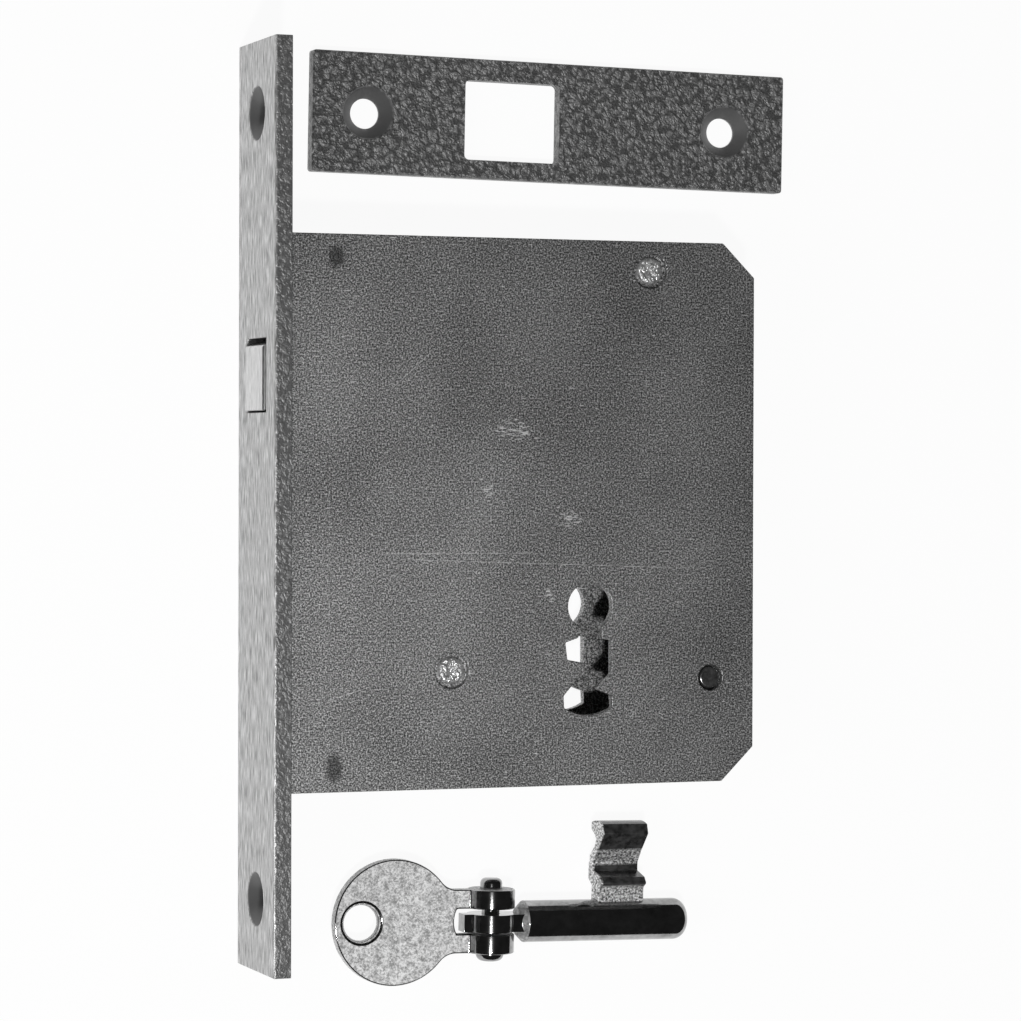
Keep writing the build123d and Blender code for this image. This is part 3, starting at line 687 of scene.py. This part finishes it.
def broken_edges(node: str, body: str, finish: Finish, edge: float,
                 second: Finish | None = None, edges_second: bool = False,
                 is_second: Callable[[Vector, Vector], bool] | None = None) -> bpy.types.Object:
    """Makes a smooth copy of a CAD node, with its sharp edges broken, in the node's place.

    Args:
        node: the CAD node's name.
        body: the body that the piece rides on.
        finish: the piece's finish.
        edge: width of the broken edges in millimetres, or 0 for none.
        second: a second finish, for some of the faces.
        edges_second: whether the broken edges get the second finish.
        is_second: tells from a face's middle, in millimetres, and its normal whether it gets it.

    Returns:
        The new piece.
    """
    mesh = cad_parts[node].data.copy()
    mesh.name = node + "_finished"
    work = bmesh.new()
    work.from_mesh(mesh)
    bmesh.ops.remove_doubles(work, verts=work.verts, dist=WELD)
    bmesh.ops.dissolve_limit(work, angle_limit=SAME_FACE, verts=work.verts, edges=work.edges)
    work.to_mesh(mesh)
    work.free()
    piece = bpy.data.objects.new(node + "_finished", mesh)
    bpy.context.scene.collection.objects.link(piece)
    mesh.materials.clear()
    mesh.materials.append(Dresser.material(finish))
    if second:
        mesh.materials.append(Dresser.material(second))
    for face in mesh.polygons:
        face.use_smooth = True
        face.material_index = int(bool(is_second and is_second(face.center / MM, face.normal)))
    mesh.set_sharp_from_angle(angle=SMOOTH_BELOW)
    if edge:
        bevel = piece.modifiers.new("broken_edges", "BEVEL")
        bevel.width = edge * MM
        bevel.segments = EDGE_STEPS
        bevel.limit_method = "ANGLE"
        bevel.angle_limit = EDGE_ABOVE
        bevel.material = 1 if edges_second else -1
    flat = piece.modifiers.new("even_faces", "WEIGHTED_NORMAL")
    flat.mode = "FACE_AREA"
    flat.weight = FLAT_FACE_WEIGHT
    flat.keep_sharp = not edge
    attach(piece, body)
    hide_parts(node)
    log.info("%s made on %s", piece.name, body)
    return piece


@dataclass
class CaseScrews:
    """The two cross recessed screws that hold the cover, set by a Geometry Nodes tree."""

    body: str = "lock_case"
    places: tuple[Spot, ...] = ((66.1, 39.1), (31.2, -26.7))
    face: float = 6.96
    head_d: float = 4.5
    head_height: float = 0.86
    head_round: float = 0.54
    crown: float = 0.10
    shank_d: float = 3.0
    length: float = 7.9
    tip: float = 0.4
    slot_half_length: float = 1.45
    slot_half_width: float = 0.30
    slot_depth: float = 0.62
    slot_run_out: float = 0.22
    slot_end_share: float = 0.55
    slot_middle_share: float = 0.45
    worn: float = 0.16
    turn: float = 35.0
    turn_spread: float = 8.0
    rings: int = 34
    sides: int = 96
    smooth_below: float = 50.0
    seed: int = 7

    def head_drop(self, x: float, y: float) -> float:
        """Gives how far the head's top lies under its highest point.

        Args:
            x: place across the head in millimetres.
            y: place up the head in millimetres.

        Returns:
            The drop in millimetres.
        """
        radius = math.hypot(x, y)
        rim = self.head_d / 2 - self.head_round
        crown = self.crown * (radius / (self.head_d / 2)) ** 2
        if radius > rim:
            over = min(radius - rim, self.head_round)
            crown += self.head_round - math.sqrt(max(self.head_round ** 2 - over ** 2, 0.0))
        drop = 0.0
        for along, across in ((abs(x), abs(y)), (abs(y), abs(x))):
            if along < self.slot_half_length:
                end = min((self.slot_half_length - along) / self.slot_run_out, 1.0)
                side = min(max((self.slot_half_width + self.worn / 2 - across) / self.worn, 0.0), 1.0)
                deeper = self.slot_end_share + self.slot_middle_share * (1 - along / self.slot_half_length)
                drop = max(drop, end * side * deeper * self.slot_depth)
        return crown + drop

    def template(self) -> bpy.types.Object:
        """Makes one screw, standing on its own axis with its top at height 0.

        Returns:
            The screw, which only the tree uses.
        """
        work = bmesh.new()
        middle = work.verts.new((0, 0, -self.head_drop(0, 0) * MM))
        angles = [math.tau * k / self.sides for k in range(self.sides)]
        loops = []
        for i in range(1, self.rings + 1):
            radius = self.head_d / 2 * i / self.rings
            spots = [(radius * math.cos(angle), radius * math.sin(angle)) for angle in angles]
            loops.append([work.verts.new((x * MM, y * MM, -self.head_drop(x, y) * MM)) for x, y in spots])
        under = ((self.head_d / 2, -self.head_height), (self.shank_d / 2, -self.head_height),
                 (self.shank_d / 2, -self.length + self.tip), (self.shank_d / 2 - self.tip, -self.length))
        for radius, height in under:
            loops.append([work.verts.new((radius * math.cos(angle) * MM, radius * math.sin(angle) * MM,
                                          height * MM)) for angle in angles])
        for k in range(self.sides):
            after = (k + 1) % self.sides
            work.faces.new((middle, loops[0][k], loops[0][after]))
            for low, high in zip(loops, loops[1:]):
                work.faces.new((low[k], high[k], high[after], low[after]))
        work.faces.new(list(reversed(loops[-1])))
        bmesh.ops.recalc_face_normals(work, faces=work.faces)
        mesh = bpy.data.meshes.new("case_screw_blank")
        work.to_mesh(mesh)
        work.free()
        for face in mesh.polygons:
            face.use_smooth = True
        mesh.set_sharp_from_angle(angle=math.radians(self.smooth_below))
        blank = bpy.data.objects.new("case_screw_blank", mesh)
        bpy.context.scene.collection.objects.link(blank)
        return blank

    def tree(self) -> Tree:
        """Builds the tree that sets a screw on each point.

        Returns:
            The tree, whose inputs are the points, the screw, its turn, the spread, the seed and
            the finish.
        """
        tree = bpy.data.node_groups.new("case_screw_setting", "GeometryNodeTree")
        for name, kind in (("Points", "NodeSocketGeometry"), ("Screw", "NodeSocketObject"),
                           ("Turn", "NodeSocketFloat"), ("Turn Spread", "NodeSocketFloat"),
                           ("Seed", "NodeSocketInt"), ("Finish", "NodeSocketMaterial")):
            tree.interface.new_socket(name, in_out="INPUT", socket_type=kind)
        tree.interface.new_socket("Screws", in_out="OUTPUT", socket_type="NodeSocketGeometry")
        given = add_node(tree, "NodeGroupInput").outputs
        screw = add_node(tree, "GeometryNodeObjectInfo", {"Object": given["Screw"]}).outputs["Geometry"]
        least, most = (
            add_node(tree, "ShaderNodeMath", {0: given["Turn"], 1: given["Turn Spread"]},
                     operation=operation).outputs[0] for operation in ("SUBTRACT", "ADD"))
        turn = add_node(tree, "FunctionNodeRandomValue", {2: least, 3: most, "Seed": given["Seed"]},
                        data_type="FLOAT").outputs[1]
        spin = add_node(tree, "ShaderNodeCombineXYZ", {"Z": turn}).outputs["Vector"]
        placed = add_node(tree, "GeometryNodeInstanceOnPoints", {"Points": given["Points"],
                          "Instance": screw, "Rotation": spin}).outputs["Instances"]
        real = add_node(tree, "GeometryNodeRealizeInstances", {0: placed}).outputs[0]
        dressed = add_node(tree, "GeometryNodeSetMaterial", {"Geometry": real, "Material": given["Finish"]}
                           ).outputs["Geometry"]
        add_node(tree, "NodeGroupOutput", {0: dressed})
        return tree

    def build(self) -> bpy.types.Object:
        """Sets both screws and puts them in the CAD screws' place.

        Returns:
            The screws, as one plain mesh.
        """
        blank = self.template()
        points = bpy.data.meshes.new("case_screw_points")
        points.from_pydata([(x * MM, y * MM, self.face * MM) for x, y in self.places], [], [])
        carrier = bpy.data.objects.new("case_screw_points", points)
        bpy.context.scene.collection.objects.link(carrier)
        tree = self.tree()
        setting = carrier.modifiers.new("screws", "NODES")
        setting.node_group = tree
        values = {"Screw": blank, "Turn": math.radians(self.turn), "Seed": self.seed,
                  "Turn Spread": math.radians(self.turn_spread), "Finish": Dresser.material(Finish.ZINC)}
        for socket in tree.interface.items_tree:
            if socket.in_out == "INPUT" and socket.name in values:
                setting[socket.identifier] = values[socket.name]
        graph = bpy.context.evaluated_depsgraph_get()
        mesh = bpy.data.meshes.new_from_object(carrier.evaluated_get(graph))
        mesh.name = "case_screws"
        for unused in (carrier, blank):
            bpy.data.objects.remove(unused)
        screws = bpy.data.objects.new("case_screws", mesh)
        bpy.context.scene.collection.objects.link(screws)
        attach(screws, self.body)
        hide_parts("cover_screws")
        log.info("case screws set, %d faces", len(mesh.polygons))
        return screws


@dataclass
class LockBody:
    """The forend, the case, the hook bolt and the works inside."""

    body: str = "lock_case"
    bolt_body: str = "hook"
    forend_edge: float = 0.12
    sheet_edge: float = 0.16
    bolt_edge: float = 0.1
    pin_edge: float = 0.45
    spring_kept: float = 0.14
    inner: tuple[str, ...] = (
        "cover_pillars", "forend_brackets", "hook_pivot_post", "hook_washers", "guide_studs",
        "guide_collars", "tumbler_spacers", "spring_peg", "thrust_slide", "drive_pin",
        "tumbler_stump", "tumbler_lever",
    )

    def build(self) -> None:
        """Makes and dresses each piece of the lock."""
        broken_edges("forend", self.body, Finish.FOREND, self.forend_edge)
        broken_edges("case_cover", self.body, Finish.CASE, self.sheet_edge)
        broken_edges("case_tray", self.body, Finish.CASE, self.sheet_edge)
        broken_edges("hook_bolt", self.bolt_body, Finish.BOLT, self.bolt_edge)
        CaseScrews(self.body).build()
        for node in self.inner:
            Dresser.paint(node, Finish.INNER)
        broken_edges("tumbler_pin", self.body, Finish.PIN, self.pin_edge)
        self.press_spring()

    def press_spring(self) -> None:
        """Makes the leaf spring as a smooth copy and gives it a mesh of its own."""
        spring = broken_edges("tumbler_spring", self.body, Finish.SPRING, 0.0)
        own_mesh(spring)


@dataclass
class StrikePlate:
    """The plate that the hook catches in."""

    body: str = "strike"
    edge: float = 0.12

    def build(self) -> None:
        """Makes and paints the plate."""
        broken_edges("strike_plate", self.body, Finish.STRIKE, self.edge)


@dataclass
class FoldingKey:
    """The key, in two halves that fold on a riveted pin."""

    stem: str = "key_stem"
    handle: str = "key_handle"
    bow_edge: float = 0.24
    shank_edge: float = 0.15
    bit_edge: float = 0.12
    ears_from: float = 38.85
    ear_end_facing: float = 0.7
    bevel_between: Span = (45.8, 49.5)
    bevel_facing: float = -0.35

    def on_an_ear(self, middle: Vector, normal: Vector) -> bool:
        """Says whether a face of the bow is the rounded outside of one of the fork's ears."""
        return middle.x > self.ears_from and abs(normal.y) < self.ear_end_facing

    def on_the_bevel(self, middle: Vector, normal: Vector) -> bool:
        """Says whether a face of the shank is on the sawn bevel at the fork's end."""
        return self.bevel_between[0] < middle.x < self.bevel_between[1] and normal.x < self.bevel_facing

    def build(self) -> None:
        """Makes and dresses each piece of the key."""
        broken_edges("key_bow", self.handle, Finish.BOW, self.bow_edge,
                     Finish.SHANK, True, self.on_an_ear)
        broken_edges("key_hinge_pin", self.handle, Finish.SHANK, 0.0)
        broken_edges("key_shank", self.stem, Finish.SHANK, self.shank_edge,
                     Finish.SAWN, False, self.on_the_bevel)
        broken_edges("key_bit", self.stem, Finish.BIT, self.bit_edge)


# Table, light and camera


@dataclass
class Studio:
    """A white table, a dim ceiling, a small lamp near the camera, a soft one and the camera."""

    table_height: float = -10.02
    table_half: float = 2500.0
    table_tone: str = "f4f4f4"
    table_glow: float = 0.94
    ceiling_glow: float = 0.025
    ceiling_light: float = 0.12
    # Place, side and power in watts of each lamp
    key_lamp: tuple[Point, float, float] = ((-128.0, -185.0, 602.0), 42.0, 2.35)
    left_lamp: tuple[Point, float, float] = ((-680.0, -180.0, 480.0), 520.0, 2.6)
    # Turns in degrees, the photograph's side in pixels and the focal length in them
    yaw: float = 20.76
    pitch: float = -0.70
    roll: float = 0.16
    distance: float = 617.4
    target: Point = (44.0, -0.7, 0.0)
    focal_px: float = 3724.0
    frame_px: float = 1021.0
    sensor: float = 36.0
    seen_between: Span = (10.0, 50000.0)

    def table(self) -> None:
        """Lays the white table under the pieces."""
        mesh = bpy.data.meshes.new("table")
        half = self.table_half * MM
        z = self.table_height * MM
        mesh.from_pydata([(-half, -half, z), (half, -half, z), (half, half, z), (-half, half, z)], [],
                         [(0, 1, 2, 3)])
        floor = bpy.data.objects.new("table", mesh)
        bpy.context.scene.collection.objects.link(floor)
        material = bpy.data.materials.new("white_table")
        material.use_nodes = True
        tree = material.node_tree
        tree.nodes.clear()
        matt = add_node(tree, "ShaderNodeBsdfDiffuse", {"Color": linear(self.table_tone)}).outputs[0]
        glow = add_node(tree, "ShaderNodeEmission", {"Color": WHITE, "Strength": 1.0}).outputs[0]
        path = add_node(tree, "ShaderNodeLightPath").outputs
        seen = add_node(tree, "ShaderNodeMath", {0: path["Is Camera Ray"], 1: path["Is Glossy Ray"]},
                        operation="MAXIMUM").outputs[0]
        share = add_node(tree, "ShaderNodeMath", {0: seen, 1: self.table_glow},
                         operation="MULTIPLY").outputs[0]
        mixed = add_node(tree, "ShaderNodeMixShader", {0: share, 1: matt, 2: glow}).outputs[0]
        add_node(tree, "ShaderNodeOutputMaterial", {"Surface": mixed})
        mesh.materials.append(material)

    def sky(self) -> None:
        """Sets a white backdrop for the camera and a dim ceiling for everything else."""
        world = bpy.data.worlds.new("studio")
        bpy.context.scene.world = world
        world.use_nodes = True
        tree = world.node_tree
        tree.nodes.clear()
        path = add_node(tree, "ShaderNodeLightPath").outputs
        dim = add_node(tree, "ShaderNodeMix", {SHARE: path["Is Glossy Ray"], VALUE_A: self.ceiling_light,
                       VALUE_B: self.ceiling_glow}, data_type="FLOAT").outputs[MIXED_VALUE]
        strength = add_node(tree, "ShaderNodeMix", {SHARE: path["Is Camera Ray"], VALUE_A: dim,
                            VALUE_B: 1.0}, data_type="FLOAT").outputs[MIXED_VALUE]
        glow = add_node(tree, "ShaderNodeBackground", {"Color": WHITE, "Strength": strength})
        add_node(tree, "ShaderNodeOutputWorld", {"Surface": glow.outputs[0]})

    def lamp(self, name: str, place: Point, size: float, power: float, mirrored: bool) -> None:
        """Hangs a square lamp that faces the pieces.

        Args:
            name: the lamp's name.
            place: its place in millimetres.
            size: its side in millimetres.
            power: its power in watts.
            mirrored: whether the polished pieces show it.
        """
        light = bpy.data.lights.new(name, "AREA")
        light.size = size * MM
        light.energy = power
        lamp = bpy.data.objects.new(name, light)
        lamp.visible_glossy = mirrored
        lamp.location = Vector(place) * MM
        aim = Vector(self.target) * MM - lamp.location
        lamp.rotation_euler = aim.to_track_quat("-Z", "Y").to_euler()
        bpy.context.scene.collection.objects.link(lamp)

    def camera(self) -> None:
        """Sets the camera where the photograph was taken from."""
        yaw, pitch, roll = (math.radians(v) for v in (self.yaw, self.pitch, self.roll))
        forward = Vector((math.sin(yaw) * math.cos(pitch), math.sin(pitch),
                          -math.cos(yaw) * math.cos(pitch)))
        right = Vector((math.cos(yaw), 0.0, math.sin(yaw)))
        up = right.cross(forward)
        side = right * math.cos(roll) + up * math.sin(roll)
        top = up * math.cos(roll) - right * math.sin(roll)
        data = bpy.data.cameras.new("camera")
        data.sensor_width = self.sensor
        data.lens = self.focal_px / self.frame_px * self.sensor
        data.clip_start, data.clip_end = (limit * MM for limit in self.seen_between)
        camera = bpy.data.objects.new("camera", data)
        turn = Matrix((side, top, -forward)).transposed().to_4x4()
        eye = (Vector(self.target) - forward * self.distance) * MM
        camera.matrix_world = Matrix.Translation(eye) @ turn
        bpy.context.scene.collection.objects.link(camera)
        bpy.context.scene.camera = camera

    def build(self) -> None:
        """Makes the table, the light and the camera."""
        bpy.context.scene.view_settings.view_transform = "Standard"
        self.table()
        self.sky()
        self.lamp("key_lamp", *self.key_lamp, True)
        self.lamp("left_lamp", *self.left_lamp, False)
        self.camera()
        log.info("studio set up")


def main() -> None:
    """Builds and dresses the three items and sets the studio."""
    logging.basicConfig(level=logging.INFO)
    for item in (LockBody(), StrikePlate(), FoldingKey(), Studio()):
        item.build()


if __name__ == "__main__":
    main()
